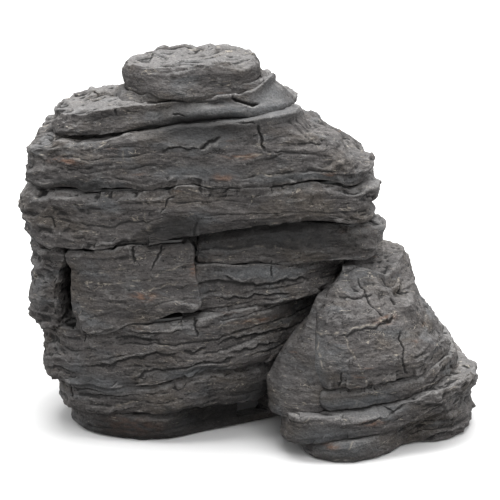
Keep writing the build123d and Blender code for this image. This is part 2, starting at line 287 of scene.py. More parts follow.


# ---- features given one by one, in millimetres ----
# Pushes: centre, radii, and how far the surface moves there.
STACK_PUSHES = [
    # the bed under the shoulder steps up to the right of the block
    ((24, -55, 149), (74, 26, 13), (0, 0, 6.5)),
    ((-120, -50, 139), (30, 22, 9), (0, 0, -2.5)),
    # the bed over the plinth sags to the left and arches in the middle
    ((-86, -56, 43), (26, 20, 12), (0, 0, -3.5)),
    ((-32, -56, 48), (26, 20, 12), (0, 0, 3.5)),
    # dark recess over the base, beside the boulder
    ((-22, -46, 12), (38, 26, 14), (0, 7, 0)),
    ((8, -34, 14), (26, 26, 14), (0, 6, 0)),
    ((-12, -52, 30), (36, 16, 7), (0, 3.5, 0)),
    ((-40, -60, 46), (46, 12, 5), (0, -1.5, 0)),
    # the cap's foot stands over its collar, and the crown's front edge falls away from it
    ((-46, -38, 244), (48, 16, 8), (0, -6, -6)),
    ((-46, -52, 238), (46, 14, 6), (0, 3.5, -4.5)),
    ((-46, 0, 264), (60, 44, 9), (0, 0, -3.5)),
    # the crown's right end rises beside the cap
    ((20, -24, 242), (20, 34, 9), (0, -1, 8)),
    # recess and drape under the crown
    ((-34, -52, 217), (34, 18, 9), (0, 5.5, 0)),
    ((-26, -44, 228), (34, 14, 6), (0, -3.0, 0)),
    ((16, -36, 226), (20, 16, 9), (0, -3.0, 0)),
    # blocks, knobs and bites at the ends
    ((-148, -34, 200), (9, 22, 5), (-3, 0, 1)),
    ((-150, -30, 190), (8, 22, 4), (3, 0, 0)),
    ((-150, -30, 212), (9, 22, 6), (-2, 0, 2)),
    ((-152, -36, 160), (9, 20, 8), (-3, 0, 0)),
    ((-150, -30, 148), (9, 20, 5), (3, 0, 0)),
    ((88, -32, 174), (12, 26, 10), (3, 0, 0)),
    ((88, -30, 163), (10, 26, 6), (-6, 0, 0)),
    ((92, -24, 147), (10, 26, 6), (4, 0, 1)),
    ((90, -24, 133), (10, 26, 6), (-5, 0, 0)),
    ((82, -30, 193), (10, 24, 6), (4, 0, 1)),
    ((72, -28, 202), (9, 24, 5), (-4, 0, -3)),
    ((62, -28, 209), (9, 24, 5), (4, 0, 3)),
    ((42, -28, 216), (9, 24, 5), (-2, 0, -3)),
    ((30, -28, 224), (9, 24, 5), (2, 0, 3)),
    ((-98, -58, 181), (12, 16, 7), (0, 0, 3)),
    ((-70, -60, 182), (9, 16, 7), (0, 0, -3)),
    ((-44, -60, 182), (14, 16, 8), (0, 0, 3)),
    ((-8, -62, 181), (16, 16, 8), (0, 0, 1.5)),
    ((44, -58, 181), (16, 16, 8), (0, 0, 2)),
    ((70, -46, 181), (12, 20, 8), (0, 0, -2.5)),
    ((-84, -42, 226), (18, 16, 7), (0, 0, 2)),
    ((-50, -60, 100), (20, 16, 8), (0, 0, 1.5)),
    ((-132, -34, 80), (9, 22, 7), (-3, 0, 0)),
    ((-138, -30, 66), (9, 22, 5), (3, 0, 0)),
    ((-136, -30, 42), (9, 22, 6), (-2.5, 0, 0)),
    ((-131, -24, 22), (9, 22, 5), (2.5, 0, 0)),
    ((-128, -26, 8), (10, 22, 6), (-2, 0, 0)),
    # the top left of the crown, stepped
    ((-112, -34, 238), (16, 26, 6), (0, 0, 2.5)),
    ((-90, -30, 243), (12, 22, 5), (0, 0, -2)),
]
BOULDER_PUSHES = [
    ((99, -38, 117), (26, 30, 13), (-1, 0, -6.5)),
    ((76, -50, 112), (10, 20, 8), (-4, 0, 0)),
    ((110, -50, 98), (12, 16, 8), (4, -4, 1)),
    ((102, -40, 106), (8, 14, 5), (-3, 3, -3)),
    ((72, -58, 104), (14, 14, 6), (0, -2, 0)),
    ((76, -50, 116), (10, 20, 5), (-2, 0, 3)),
    ((96, -40, 118), (8, 20, 5), (0, 0, -3)),
    ((124, -40, 76), (8, 22, 5), (-3, 2, 0)),
    ((134, -36, 64), (8, 22, 6), (3, -2, 0)),
    ((152, -40, 24), (9, 22, 9), (-2.5, 0, 0)),
    ((150, -44, 40), (10, 24, 6), (3, -2, 2)),
    ((88, -92, 66), (34, 16, 14), (0, 1.5, 0)),
    # the putty comes up flush with the head's left edge
    ((42, -84, 60), (9, 14, 28), (-1.5, -1.5, 0)),
]
SEAM_PUSHES = [
    ((44, -86, 58), (9, 14, 34), (1.5, -2.0, 0)),
    ((30, -78, 62), (12, 16, 20), (0, 2.5, 0)),
    ((76, -50, 112), (10, 20, 8), (-4, 0, 0)),
    ((18, -30, 240), (22, 34, 14), (8, -7, -1)),
]
BUTTRESS_PUSHES = [
    ((-127, -42, 132), (8, 22, 14), (3, -2, 0)),
    ((-127, -42, 98), (7, 24, 18), (-4.5, 0, 0)),
    ((-150, -36, 136), (9, 20, 6), (-3, -2, 0)),
    ((-150, -36, 124), (9, 20, 5), (3, 1, 0)),
    ((-150, -36, 98), (9, 20, 8), (-3, -2, 0)),
    ((-144, -44, 84), (14, 20, 5), (2, 3, 0)),
]
BLOCK_PUSHES = [
    ((-122, -48, 134), (7, 18, 14), (-3.5, 0, 0)),
    ((-121, -48, 88), (6, 18, 14), (3, 0, 0)),
    ((-36, -56, 106), (7, 16, 17), (3.5, 0, 0)),
    ((-56, -60, 140), (24, 12, 9), (0, 4, 0)),
    ((-50, -58, 146), (22, 16, 7), (0, 2, -4)),
    ((-106, -60, 84), (26, 14, 9), (0, -3.5, -7)),
    ((-46, -60, 92), (22, 14, 9), (0, -3.0, 5)),
]
SHOULDER_PUSHES = [((-48, -56, 152), (24, 26, 9), (0, 0, 6))]
LEDGE_PUSHES = [
    ((-34, -52, 110), (7, 14, 16), (-3, -3, 0)),
    ((4, -56, 118), (26, 10, 5), (0, -2.5, 0)),
]

# Ledges in the front: how far the lip over the line stands out, and the line through (x, z).
STACK_LEDGES = [
    (1.6, [(-114, 53), (-86, 58), (-66, 66), (-44, 69), (-28, 70)]),
    (1.4, [(-84, 48), (-60, 56), (-36, 60), (-6, 61)]),
    (1.6, [(-96, 73), (-78, 76), (-60, 76)]),
    (1.8, [(-26, 73), (-8, 76), (8, 75), (30, 76)]),
    (1.4, [(-14, 65), (2, 68), (18, 67)]),
    (1.2, [(-70, 88), (-52, 89), (-34, 93), (-8, 92)]),
    (1.6, [(-118, 86), (-102, 84), (-90, 88)]),
    (1.4, [(-28, 104), (-8, 103), (10, 106), (30, 106)]),
    (2.0, [(-18, 117), (-6, 114), (10, 113), (26, 116), (44, 115)]),
    (1.3, [(-4, 126), (18, 125), (36, 124), (60, 127)]),
    (1.3, [(-110, 30), (-90, 33), (-60, 40), (-40, 43), (-12, 46)]),
    (1.0, [(-112, 18), (-92, 21), (-74, 26)]),
    (1.2, [(-146, 122), (-134, 120), (-126, 121)]),
    (1.0, [(-144, 108), (-134, 107), (-124, 108)]),
    (1.0, [(-62, 204.5), (-48, 206), (-34, 205)]),
    (1.0, [(-136, 194), (-116, 193), (-100, 195)]),
    (0.9, [(-110, 143), (-92, 142), (-78, 144)]),
    (0.9, [(16, 190), (38, 191), (60, 190)]),
    (0.9, [(24, 208), (40, 209), (52, 207)]),
]
BOULDER_LEDGES = [
    (0.9, [(48, 84), (64, 87), (82, 90), (98, 92)]),
    (1.4, [(70, 27), (84, 30), (100, 36), (112, 41)]),
    (1.3, [(112, 14), (124, 20), (138, 24)]),
    (1.2, [(118, 28), (132, 33), (146, 36)]),
    (1.2, [(60, 108), (74, 107), (86, 109)]),
    (1.0, [(98, 72), (112, 70), (124, 72)]),
]

# Cracks in the front: width, depth, and the line through (x, z).
STACK_CRACKS = [
    (0.9, 2.6, [(-92, 237), (-91.5, 232), (-90.4, 225)]),
    (1.4, 5.0, [(-12, 241.5), (-9, 237), (-3.3, 234.4), (5.3, 232.6)]),
    (0.8, 2.0, [(-53, 226.5), (-47, 226), (-43, 225)]),
    (0.8, 2.2, [(-12, 223.5), (-3, 222.6), (4, 220.5)]),
    (1.1, 3.2, [(6, 220), (7.5, 213), (8.5, 206), (11, 202.5)]),
    (0.7, 1.6, [(11, 202.5), (19, 203.2), (25, 203)]),
    (1.3, 3.4, [(-33, 205), (-27, 209), (-20, 213)]),
    (0.8, 2.0, [(-58, 204.5), (-48, 206), (-34, 204.6)]),
    (0.7, 1.8, [(-60, 163), (-55, 168), (-50, 173)]),
    (0.8, 2.0, [(-132, 156), (-130, 149)]),
    (0.8, 2.2, [(-78, 140), (-78.5, 134), (-77, 129)]),
    (0.8, 2.0, [(-60, 141), (-62, 132), (-66, 124)]),
    (0.8, 2.0, [(-36.5, 150), (-36, 140), (-35, 128)]),
    (1.0, 2.4, [(-38, 92), (-37, 84), (-36, 78)]),
    (0.7, 1.6, [(-116, 88), (-112, 78), (-114, 70)]),
    (0.8, 2.0, [(14, 117), (14.5, 124), (14, 129)]),
    (0.8, 2.0, [(80, 174), (83, 170), (84, 165)]),
    (1.0, 2.6, [(-124, 38), (-123, 31), (-121, 26)]),
]
BOULDER_CRACKS = [
    (0.7, 1.6, [(77, 116), (80, 106), (84, 99), (90, 93)]),
    (0.8, 2.0, [(100, 84), (101, 74), (102, 66), (106, 58)]),
    (0.7, 1.6, [(60, 62), (60.5, 56), (59, 51)]),
    (1.2, 2.6, [(88, 92), (94, 91), (98, 93)]),
    (1.2, 3.0, [(104, 112), (107, 106), (110, 102)]),
    (1.0, 2.2, [(96, 104), (99, 99)]),
    (1.0, 2.4, [(128, 50), (130, 54), (131, 57)]),
]

# Pale mineral lines and rust stains: width and line through (x, z); centre and radii.
STACK_VEINS = [
    (0.5, [(-130, 197), (-120, 200), (-108, 198)]),
    (0.45, [(-84, 205), (-84, 198), (-79, 193)]),
    (0.45, [(4, 190), (14, 189), (24, 189.5)]),
    (0.5, [(-10, 201), (2, 201.6), (14, 201)]),
    (0.45, [(-74, 172), (-69, 165), (-72, 158), (-67, 152)]),
    (0.45, [(-104, 123), (-92, 123), (-82, 125)]),
    (0.5, [(-80, 116), (-66, 119), (-52, 125), (-42, 129)]),
    (0.45, [(-76, 109), (-62, 111), (-46, 116)]),
    (0.5, [(-14, 137), (4, 136.5), (22, 138), (34, 139)]),
    (0.4, [(-24, 84), (-8, 86), (10, 86)]),
    (0.45, [(-96, 24), (-84, 27), (-74, 31)]),
]
BOULDER_VEINS = [
    (0.5, [(36, 84), (56, 86), (76, 91), (94, 93)]),
    (0.45, [(62, 84), (67, 76), (73, 66), (79, 56)]),
    (0.4, [(46, 80), (47, 72), (49, 64)]),
    (0.45, [(34, 26), (40, 31), (46, 35)]),
    (0.45, [(66, 10), (69, 15)]),
]
STACK_RUST = [
    ((-71, -61, 106), (8, 10, 3.0)),
    ((-6, -58, 201), (11, 10, 1.6)),
    ((8, -56, 86), (20, 12, 1.6)),
    ((-36, -58, 124), (4, 9, 7)),
    ((-124, -50, 196), (12, 9, 2.6)),
    ((54, -58, 188), (6, 9, 1.4)),
    ((-18, -58, 187), (8, 9, 2.6)),
    ((-84, -60, 8), (26, 14, 9)),
]
BOULDER_RUST = [
    ((90, -70, 92), (9, 12, 2.6)),
    ((38, -98, 36), (7, 9, 2.6)),
    ((80, -92, 28), (9, 9, 2.0)),
    ((54, -98, 12), (5, 9, 2.4)),
]

# Smoothed places: centre and radii.
STACK_PUTTY = [
    ((-22, -44, 226), (44, 20, 9)),
    ((-32, -52, 215), (26, 20, 8)),
    ((-32, -58, 189), (30, 14, 6)),
    ((34, -60, 186), (44, 14, 3.5)),
    ((-104, -56, 40), (24, 14, 9)),
    ((-30, -60, 50), (34, 12, 5)),
    ((10, -56, 120), (40, 10, 5)),
    ((14, -38, 230), (20, 22, 12)),
]
BOULDER_PUTTY = [
    ((42, -88, 62), (10, 20, 34)),
    ((74, -92, 38), (44, 16, 7)),
    ((52, -100, 14), (34, 12, 12)),
]
# Painted shade: places painted dark where recesses and undercuts lie in shadow: centre and radii.
STACK_SHADE = [
    ((-14, -44, 10), (52, 40, 21)),
    ((20, -20, 14), (46, 46, 24)),
    ((-84, -56, 3), (70, 26, 15)),
    ((-50, -60, 147), (26, 14, 8)),
    ((12, -44, 34), (24, 24, 9)),
    ((20, -54, 142), (80, 20, 10)),
    ((-112, -52, 181), (20, 14, 4)),
    ((-34, -52, 216), (40, 20, 10)),
    ((-104, -48, 225), (26, 16, 4)),
]


def near_line(points, line):
    """Distance in the front view from each point to a line through (x, z), and 0 to 1 along it."""
    flat = points[:, [0, 2]]
    ends = np.array(line, float)
    best = np.full(len(points), 1e9)
    along = np.zeros(len(points))
    lengths = np.hypot(*(ends[1:] - ends[:-1]).T)
    start = 0.0
    for a, b, length in zip(ends, ends[1:], lengths):
        t = np.clip(((flat - a) @ (b - a)) / length ** 2, 0, 1)
        distance = np.hypot(*(flat - a - t[:, None] * (b - a)).T)
        closer = distance < best
        along = np.where(closer, (start + t * length) / lengths.sum(), along)
        best = np.where(closer, distance, best)
        start += length
    return best, along


LEDGE_OVERRUN = 4.0  # how far past the ends of its line a ledge fades, in millimetres
LEDGE_FADE = 14.0


def ledge(points, line, deep):
    """A lip over a line through (x, z) with a sharp recess under it, fading at both ends."""
    xs, zs = np.array(line, float).T
    above = points[:, 2] - np.interp(points[:, 0], xs, zs)
    fade = smooth_step((points[:, 0] - xs[0] + LEDGE_OVERRUN) / LEDGE_FADE)
    fade = fade * smooth_step((xs[-1] + LEDGE_OVERRUN - points[:, 0]) / LEDGE_FADE)
    uneven = 1 + 0.5 * blocks(points, (14, 30, 60), 221) + 0.7 * noise(points, (10, 30, 60), 222)
    fade *= uneven.clip(0.1, 2)
    lip = smooth_step((above + 0.4) / 0.8) * np.exp(-(np.maximum(above, 0) / 3.4) ** 1.5)
    under = smooth_step((0.4 - above) / 0.8) * np.exp(-(np.maximum(-above, 0) / 2.6) ** 1.5)
    return deep * fade * (0.45 * lip - 0.8 * under)


def within(points, centre, radii, power=2.0):
    """1 at the centre of an egg shape, fading to 0 outside it."""
    away = (((points - np.array(centre, float)) / np.array(radii, float)) ** 2).sum(1)
    return np.exp(-power * away ** 1.5)


# Places where putty was smeared over the edges, so that they round off: centre and radii.
STACK_SMEARS = [
    ((18, -34, 236), (30, 30, 15)),
    ((-46, -50, 236), (46, 16, 9)),
    ((-96, -34, 242), (9, 24, 8)),
    ((-36, -50, 220), (48, 24, 12)),
]
BOULDER_SMEARS = [
    ((42, -88, 58), (12, 20, 34)),
    ((80, -60, 110), (16, 20, 8)),
]


def most(points, places):
    """How deep each point is in any of the egg shapes, 0 to 1."""
    held = np.zeros(len(points))
    for centre, radii in places:
        held = np.maximum(held, within(points, centre, radii, 1.0))
    return held


# ---- pieces ----
SMALLEST_VOXEL = 0.72
STACK_MIDDLE_X = -32
USUAL = {
    "lip": LIP_HEIGHT,  # how high the bevels reach from a bed
    "lumps": 1.0,  # strength of: slow lumps
    "facets": 1.5,  # broad broken facets
    "steps": 0.8,  # steps from stratum to stratum
    "laminae": 0.2,  # thin leaves
    "chips": 1.3,  # small chips
    "grain": 0.2,
    "top": 0.9,  # flakes on level places
    "dust": 1.0,  # how pale level places are: dust, and painted light from above
    "tone": 0.0,  # painted shade on the faces that are not level
    "boulder": False,  # part of the side boulder, not of the stack
    "pushes": (),
    "rounding": 1,  # rounds of smoothing before anything else
    "faces": 110000,
}


def casting(low=0, high=0, under=0.0, over=0.0, **changed):
    """How a casting is broken and worn. It lies between two beds, and its lips can move so far."""
    return SimpleNamespace(low=low, high=high, under=under, over=over, **{**USUAL, **changed})


CASTINGS = {
    "base_tier": casting(0, 1, 3, 4, steps=0.9, faces=90000),
    "plinth_tier": casting(1, 2, 5, 4, steps=1.5, laminae=0.3),
    "waist_tier": casting(2, 3, 6, 4, lumps=1.4, facets=2.0, steps=1.9, laminae=0.35, faces=150000),
    "ledge_tier": casting(3, 4, 4, 3, lumps=1.2, facets=1.7, steps=1.9, laminae=0.35,
                          pushes=LEDGE_PUSHES),
    "shelf_tier": casting(4, 5, 4, 4, lip=5.6, steps=1.2, laminae=0.3),
    "shoulder_tier": casting(5, 6, 5, 5, lumps=1.2, facets=2.0, steps=1.1, pushes=SHOULDER_PUSHES,
                             faces=150000),
    "upper_tier": casting(6, 7, 5, 4, lumps=1.2, facets=2.0, steps=1.2, laminae=0.25, top=3.0,
                          dust=0.25, tone=0.24, faces=160000),
    "crown_tier": casting(7, 8, 4, 3, lip=4.9, facets=1.3, steps=0.7, top=2.8, dust=0.9, tone=0.04),
    "cap_slab": casting(8, 0, 3, 4, lip=5.7, lumps=0.9, facets=1.3, steps=0.6, laminae=0.25,
                        top=3.4, dust=0.85, tone=0.22),
    "front_block": casting(3, 5, 2, 2, lumps=0.8, facets=1.4, steps=0.7, chips=0.9,
                           pushes=BLOCK_PUSHES, faces=70000),
    "left_buttress": casting(3, 5, 4, 4, facets=2.2, steps=1.4, chips=2.0, pushes=BUTTRESS_PUSHES,
                             faces=60000),
    "boulder_foot": casting(0, 1, 2, 2, lip=1.6, lumps=1.4, steps=1.1, laminae=0.25, boulder=True,
                            faces=80000),
    "boulder_slab": casting(1, 2, 4, 4, lip=5.9, chips=1.7, dust=0.7, boulder=True),
    "boulder_neck": casting(2, 3, 3, 3, lip=4.8, lumps=0.9, facets=0.9, steps=0.5, laminae=0.15,
                            boulder=True),
    "boulder_head": casting(3, 0, 4, 0, lip=12, lumps=0.7, facets=1.1, steps=0.5, chips=1.5,
                            top=1.0, dust=0.35, boulder=True, faces=130000),
}
PUTTY_SETTINGS = casting(lumps=0.7, facets=1.3, steps=0.5, boulder=True)
PUTTY_FACES = 70000
CHIPPED_BY = 1.8  # how far cracks, ledges and veins stray from their lines, in millimetres
FOOT = 3.0  # a casting that starts under this height stands on the floor
SOLE = 1.2  # and this much of it stays level
SMEAR_ROUNDS = 60
EDGE_ROUNDS = 8  # rounds of smoothing that edges are told from, and broad hollows
BROAD_ROUNDS = 40


def remeshed(node, name, voxel):
    """A copy of a CAD node's mesh, made of even small faces."""
    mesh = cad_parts[node].data.copy()
    raw = bpy.data.objects.new(name + "_raw", mesh)
    bpy.context.collection.objects.link(raw)
    even = raw.modifiers.new("even", "REMESH")
    even.mode = "VOXEL"
    even.voxel_size = voxel * MM
    graph = bpy.context.evaluated_depsgraph_get()
    made = bpy.data.meshes.new_from_object(raw.evaluated_get(graph))
    bpy.data.objects.remove(raw)
    piece = bpy.data.objects.new(name, made)
    bpy.context.collection.objects.link(piece)
    made.materials.clear()
    made.shade_smooth()
    return piece


def voxel_for(node, wanted):
    """The voxel that gives about that many faces."""
    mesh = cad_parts[node].data
    area = sum(face.area for face in mesh.polygons) / MM ** 2
    return max(SMALLEST_VOXEL, math.sqrt(area / wanted))


class Skin:
    """A mesh's points in millimetres, with its edges, for moving them about."""

    def __init__(self, piece):
        self.mesh = piece.data
        count = len(self.mesh.vertices)
        flat = np.empty(count * 3, np.float32)
        self.mesh.vertices.foreach_get("co", flat)
        self.points = flat.reshape(-1, 3).astype(float) / MM
        pairs = np.empty(len(self.mesh.edges) * 2, np.int32)
        self.mesh.edges.foreach_get("vertices", pairs)
        self.pairs = pairs.reshape(-1, 2)
        self.degree = np.bincount(self.pairs.ravel(), minlength=count).clip(1)

    def averaged(self, values):
        """Each point's value averaged over its neighbours."""
        a, b = self.pairs[:, 0], self.pairs[:, 1]
        if values.ndim == 1:
            count = len(self.degree)
            total = np.bincount(a, values[b], count) + np.bincount(b, values[a], count)
            return total / self.degree
        return np.stack([self.averaged(values[:, i]) for i in range(values.shape[1])], 1)

    def relaxed(self, values, rounds, amount=0.5):
        for _ in range(rounds):
            values = values + amount * (self.averaged(values) - values)
        return values

    def normals(self, points):
        """Unit normals of the mesh with its points there."""
        self.mesh.vertices.foreach_set("co", (points * MM).astype(np.float32).ravel())
        self.mesh.update()
        flat = np.empty(len(points) * 3, np.float32)
        self.mesh.vertex_normals.foreach_get("vector", flat)
        return flat.reshape(-1, 3).astype(float)

    def store(self, name, values):
        held = self.mesh.attributes.new(name, "FLOAT", "POINT")
        held.data.foreach_set("value", np.clip(values, 0, 1).astype(np.float32))


def warped(points):
    """A slow bend of the whole rock, so that its beds wander; none at the floor."""
    free = np.clip((points[:, 2] - 6) / 22, 0, 1)
    bend = np.stack([
        1.8 * noise(points, (44, 44, 34), 61),
        1.8 * noise(points, (44, 44, 34), 62),
        2.4 * noise(points, (42, 42, 60), 63) + 1.3 * noise(points, (15, 15, 40), 64)
        + 0.9 * blocks(points, (22, 30, 48), 65),
    ], 1)
    return points + bend * free[:, None]


def pushed(points, pushes):
    moved = points.copy()
    for centre, radii, way in pushes:
        moved += within(points, centre, radii)[:, None] * np.array(way, float)
    return moved


def broken(points, facing, settings, putty):
    """How far a casting's surface stands out: lumps, beds, chips, grain, and flakes on top."""
    side = np.clip(1 - facing[:, 2] ** 2 * 1.7, 0, 1)
    level = np.clip(facing[:, 2] * 1.6 - 0.55, 0, 1)
    hidden = np.clip(-facing[:, 2] * 1.6 - 0.7, 0, 1)
    rough = 1 - 0.85 * putty
    if settings.boulder:
        ends = np.clip((points[:, 0] - 104) / 36, 0, 1)
        ends = ends + 0.5 * np.clip((points[:, 2] - 92) / 16, 0, 1)
        ends = np.maximum(ends, 0.8 * np.clip((points[:, 1] + 30) / 30, 0, 1)).clip(0, 1)
    else:
        ends = np.clip(np.abs(points[:, 0] - STACK_MIDDLE_X) / 118, 0, 1) ** 3
        ends = np.maximum(ends, 0.7 * np.clip((points[:, 1] + 10) / 40, 0, 1))
    depth = bedding(points, settings.boulder)
    step, line = strata(points, depth, 9.0, 40, 0.16, 11)
    fine, fine_line = strata(points, depth, 3.1, 24, 0.3, 23)
    patch = smooth_step(0.5 + 1.5 * noise(points, (36, 36, 16), 47))
    fine_patch = smooth_step(0.35 + 1.8 * noise(points, (24, 24, 11), 48))
    move = settings.lumps * fractal(points, (46, 46, 28), 2, 51)
    move += rough * settings.facets * (0.8 + 0.7 * ends) * chipped(points, (36, 36, 21), 39)
    move += rough * side * settings.steps * (step - 0.5 * line * patch)
    move += rough * side * settings.laminae * (fine - 0.6 * fine_line) * fine_patch
    move += rough * settings.chips * (0.35 + 2.3 * ends) * chipped(points, (18, 18, 11), 41)
    move += rough * settings.chips * (0.32 + 0.7 * ends) * chipped(points, (8.5, 8.5, 5), 43)
    move += rough * settings.grain * (0.5 + fine_patch) * fractal(points, (5, 5, 2.4), 2, 53)
    move += settings.grain * 0.5 * noise(points, (1.9, 1.9, 1.5), 57)
    flakes = fractal(points, (52, 30, 60), 2, 67) * 2.4
    flat_step = np.floor(flakes) + smooth_step((flakes - np.floor(flakes) - 0.75) / 0.25)
    flat_step = 0.5 * flat_step + 0.5 * level * noise(points, (22, 5, 16), 71)
    move += rough * level * settings.top * flat_step
    return move * (1 - 0.85 * hidden)


def carve(node, settings):
    """One casting: the CAD solid's form, its lips reshaped, then broken, cracked and worn."""
    piece = remeshed(node, node + "_rock", voxel_for(node, settings.faces))
    skin = Skin(piece)
    boulder = settings.boulder
    low, high = (np.array(corner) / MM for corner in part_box(node))
    outline_middle = (low[:2] + high[:2]) / 2
    whole = skin.relaxed(skin.points, settings.rounding)
    points = reshape_lips(whole, outline_middle, settings.low, settings.high, settings.under,
                          settings.over, settings.lip, boulder)
    smear = most(points, BOULDER_SMEARS if boulder else STACK_SMEARS)
    if smear.max() > 0.05:
        points = points + (skin.relaxed(points, SMEAR_ROUNDS) - points) * smear[:, None]
    facing = skin.normals(skin.relaxed(points, 12))
    front = toward_front(facing, 0.1, 0.3) * toward_front(points, FRONT_START, 20)
    near_front = toward_front(points, 5, 20)
    putty = most(points, BOULDER_PUTTY if boulder else STACK_PUTTY) * near_front
    move = broken(points, facing, settings, putty)

    still = np.zeros(len(points))
    jagged = points + CHIPPED_BY * np.stack([noise(points, 7, 81), still, noise(points, 7, 82)], 1)
    jagged += 0.5 * np.stack([noise(points, 2.2, 83), still, noise(points, 2.2, 84)], 1)
    wavy = jagged + 1.2 * noise(points, (17, 17, 17), 85)[:, None] * (0, 0, 1)
    for deep, way in BOULDER_LEDGES if boulder else STACK_LEDGES:
        move += ledge(wavy, way, deep) * front
    cut = np.zeros(len(points))
    for width, deep, way in BOULDER_CRACKS if boulder else STACK_CRACKS:
        distance, along = near_line(jagged, way)
        taper = np.clip(np.minimum(along, 1 - along) * 6 + 0.2, 0, 1)
        cut = np.maximum(cut, 0.85 * deep * taper * np.exp(-(distance / (width * 0.65)) ** 2))
    cut *= front
    moved = points + facing * (move - cut)[:, None]
    pushes = (*(BOULDER_PUSHES if boulder else STACK_PUSHES), *settings.pushes)
    moved += pushed(points, pushes) - points
    moved = warped(skin.relaxed(moved, 1, 0.2))
    if low[2] < FOOT:
        sole = points[:, 2] < low[2] + SOLE
        moved[:, 2] = np.where(sole, points[:, 2] + 0.3 * np.abs(noise(points, 9, 91)), moved[:, 2])
        moved[:, 2] = np.maximum(moved[:, 2], low[2])

    final = skin.normals(moved)
    bump = ((moved - skin.relaxed(moved, EDGE_ROUNDS)) * final).sum(1)
    dip = ((moved - skin.relaxed(moved, BROAD_ROUNDS)) * final).sum(1)
    shade = most(points, () if boulder else STACK_SHADE) * near_front
    # painted shade: concave hollows and cracks are painted darker, where shade would fall
    hollow_shade = np.clip(-bump * 2.6, 0, 1) * 0.6 + np.clip(-dip * 1.2, 0, 1) * 0.6 + cut * 0.25
    skin.store("worn", smooth_step(bump * 3.0 + 0.02) * 0.65 + smooth_step(dip * 1.1) * 0.4)
    skin.store("hollow_shade", hollow_shade)
    level = smooth_step((skin.relaxed(final, 2)[:, 2] - 0.5) / 0.42)
    # dust on level places, which also stands in as painted light from above
    skin.store("top", settings.dust * level)
    # painted shade: the listed shaded places, and the non-level faces of the upper castings
    skin.store("shade", np.maximum(shade, settings.tone * (1 - level)))
    skin.store("putty", putty)
    vein = np.zeros(len(points))
    for width, way in BOULDER_VEINS if boulder else STACK_VEINS:
        distance, along = near_line(jagged, way)
        vein = np.maximum(vein, np.exp(-(distance / width) ** 2))
    skin.store("vein", vein * front * smooth_step(0.6 + 1.5 * noise(points, 4, 97)))
    stained = most(points, BOULDER_RUST if boulder else STACK_RUST) * front
    skin.store("rust", stained * smooth_step(0.55 + 1.2 * noise(points, (6, 6, 1.8), 99)))
    return finished(piece, node)


def mould_putty(node):
    """Putty between castings, chipped like them but smoother in places."""
    piece = remeshed(node, node + "_smoothed", voxel_for(node, PUTTY_FACES))
    skin = Skin(piece)
    points = skin.relaxed(skin.points, 5)
    facing = skin.normals(skin.relaxed(points, 8))
    smoothness = (0.15 + 0.3 * noise(points, 14, 117)).clip(0, 1)
    move = broken(points, facing, PUTTY_SETTINGS, smoothness)
    move += 0.25 * noise(points, (12, 12, 5), 115)
    moved = warped(pushed(points + facing * move[:, None], SEAM_PUSHES))
    final = skin.normals(moved)
    bump = ((moved - skin.relaxed(moved, EDGE_ROUNDS)) * final).sum(1)
    skin.store("worn", smooth_step(bump * 1.2) * 0.6)
    # painted shade in the putty's hollows
    skin.store("hollow_shade", np.clip(-bump * 2.4, 0, 1))
    # dust on the putty's level places, also painted light from above
    skin.store("top", 0.4 * smooth_step((final[:, 2] - 0.4) / 0.5))
    skin.store("putty", smoothness)
    for absent in ("vein", "rust"):
        skin.store(absent, np.zeros(len(points)))
    # painted shade, even over all of the putty
    skin.store("shade", np.full(len(points), 0.22))
    return finished(piece, node)


def finished(piece, node):
    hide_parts(node)
    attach(piece, "root")
    return piece


# ---- materials ----


